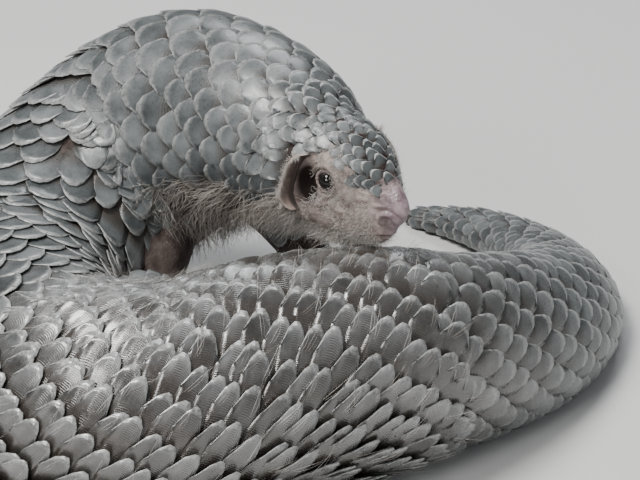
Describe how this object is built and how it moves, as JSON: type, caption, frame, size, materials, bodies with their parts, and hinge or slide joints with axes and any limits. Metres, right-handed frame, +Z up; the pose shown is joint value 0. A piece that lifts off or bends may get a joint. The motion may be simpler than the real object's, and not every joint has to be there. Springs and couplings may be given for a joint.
{
  "type": "pangolin",
  "caption": "Life-size still pangolin curled on the floor, head resting on its own rump, overlapping scales, small ears and clawed feet.",
  "frame": {"origin": "centre of the bounding box at the floor that the animal rests on", "axes": "+Z up, +X along the longest extent, with the head turned towards +X and -Y"},
  "size_m": [0.4282, 0.4171, 0.2095],
  "materials": {
    "scaled_hide": "satin horn scales with soft hair between",
    "bare_skin": "matt skin with thin hair",
    "eye": "wet gloss"
  },
  "bodies": {
    "root": {"head": "scaled_hide", "neck": "scaled_hide", "shoulders": "scaled_hide", "chest": "scaled_hide", "belly": "scaled_hide", "loins": "scaled_hide", "hips": "scaled_hide", "rump": "scaled_hide", "tail_1": "scaled_hide", "tail_2": "scaled_hide", "tail_3": "scaled_hide", "tail_4": "scaled_hide", "tail_5": "scaled_hide", "upper_front_right": "scaled_hide", "lower_front_right": "scaled_hide", "foot_front_right": "bare_skin", "upper_front_left": "scaled_hide", "lower_front_left": "scaled_hide", "foot_front_left": "bare_skin", "upper_hind_right": "scaled_hide", "lower_hind_right": "scaled_hide", "foot_hind_right": "bare_skin", "upper_hind_left": "scaled_hide", "lower_hind_left": "scaled_hide", "foot_hind_left": "bare_skin", "ear_right": "bare_skin", "ear_left": "bare_skin", "eye_right": "eye", "eye_left": "eye"}
  },
  "joints": []
}
